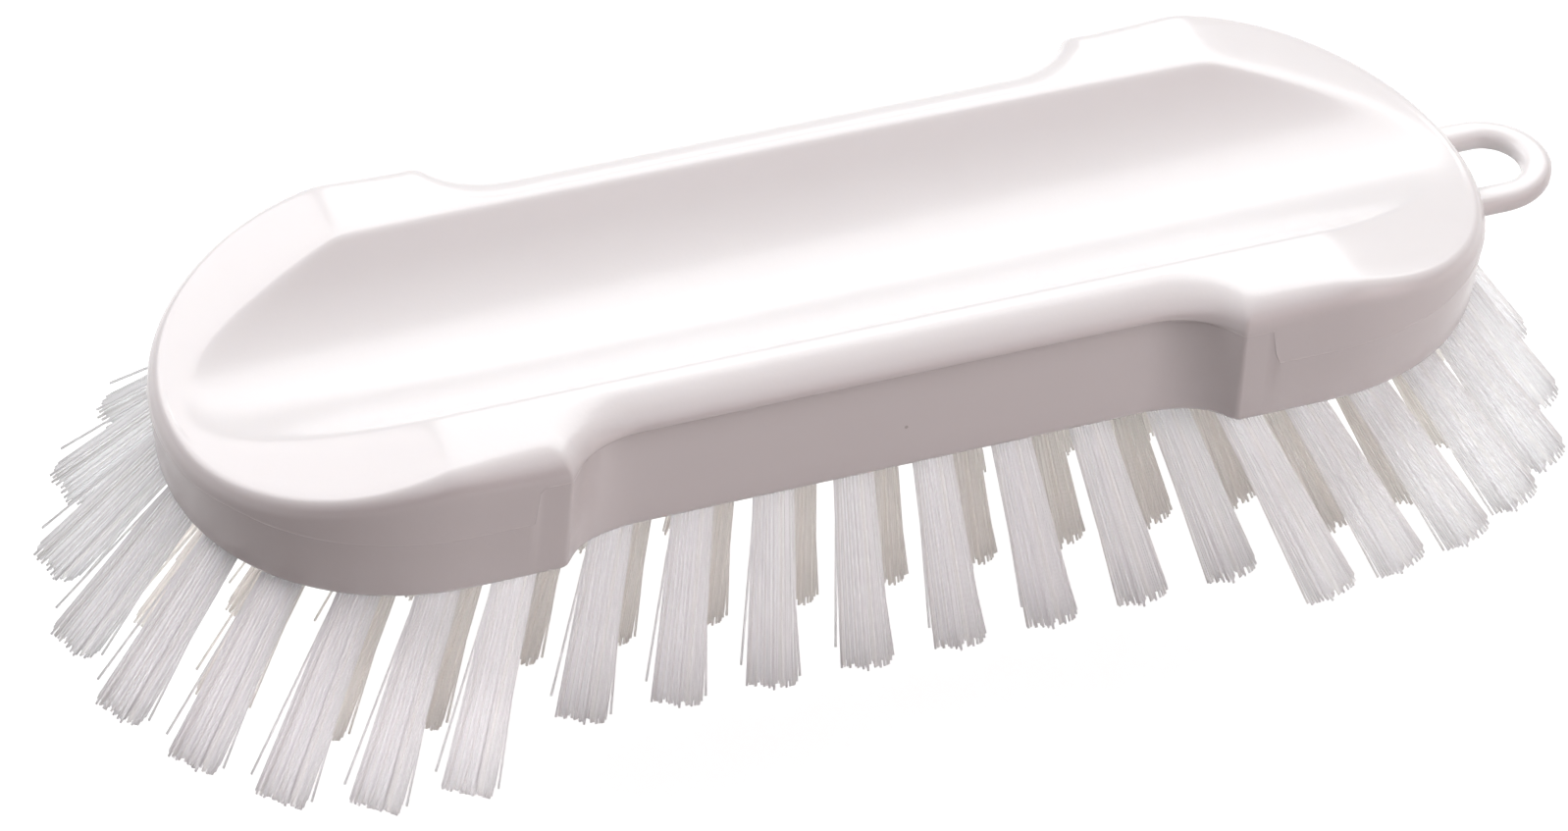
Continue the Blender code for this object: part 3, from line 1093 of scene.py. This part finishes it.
def make_lights(group):
    """Softboxes aimed at the underside of the block, and the light of the room."""
    for name, place, power, colour in softboxes:
        data = bpy.data.lights.new(name, "AREA")
        data.shape = "RECTANGLE"
        data.size, data.size_y = softbox_size
        data.energy = power
        data.color = colour
        light = put(name, data, group)
        aim = (Vector((0, 0, stand_height)) - Vector(place)).to_track_quat("-Z", "Y")
        light.matrix_world = Matrix.Translation(place) @ aim.to_matrix().to_4x4()
    world = bpy.data.worlds.new("studio")
    bpy.context.scene.world = world
    world.use_nodes = True
    backdrop = world.node_tree.nodes["Background"]
    Tree(world.node_tree).fill(backdrop, {"Color": room_tone, "Strength": room_light})


def make_camera(group):
    """The camera, at the photograph's viewing angle."""
    sideways = Vector((math.sin(camera_azimuth), -math.cos(camera_azimuth), 0))
    back = sideways * math.cos(camera_elevation)
    back.z = math.sin(camera_elevation)
    right = Vector((0, 0, 1)).cross(back).normalized()
    up = back.cross(right)
    turned_right = math.cos(camera_roll) * right + math.sin(camera_roll) * up
    turned_up = math.cos(camera_roll) * up - math.sin(camera_roll) * right
    place = back * camera_distance + turned_right * camera_slide[0] + turned_up * camera_slide[1]
    place += centre_shift + Vector((0, 0, stand_height))
    data = bpy.data.cameras.new("camera")
    data.sensor_width = sensor_width
    data.lens = camera_pixels / photo_width * sensor_width
    data.clip_start = clip_near
    data.clip_end = clip_far
    camera = put("camera", data, group)
    turn = Matrix((turned_right, turned_up, back)).transposed().to_4x4()
    camera.matrix_world = Matrix.Translation(place) @ turn
    bpy.context.scene.camera = camera


def main():
    """The studio, then the block and the tufts, each on the body that carries it."""
    studio = new_collection("studio")
    brush = new_collection("brush")
    make_camera(studio)
    make_lights(studio)
    make_floor(studio)
    single = single_tufts()
    grouped = grouped_tufts()
    places = [place for _, spots in single + grouped for place in spots]
    shell = make_block(places, brush, moulded_plastic())
    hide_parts("block")
    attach(shell, "root")
    outer = nylon("outer_nylon", outer_tones)
    # The inner tufts get the darker copy of the nylon, which paints their shade.
    inner = nylon("inner_shaded_nylon", inner_shaded_tones)
    tree = filament_tree()
    serial = 0
    for pieces, material, slot in ((single, outer, "outer_bristle"), (grouped, inner, "inner_bristle")):
        for name, spots in pieces:
            tuft = make_tufts(name, spots, serial, tree, material, brush)
            serial += len(spots)
            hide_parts(name)
            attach(tuft, "root")
    bpy.context.scene.view_settings.view_transform = "Standard"


main()
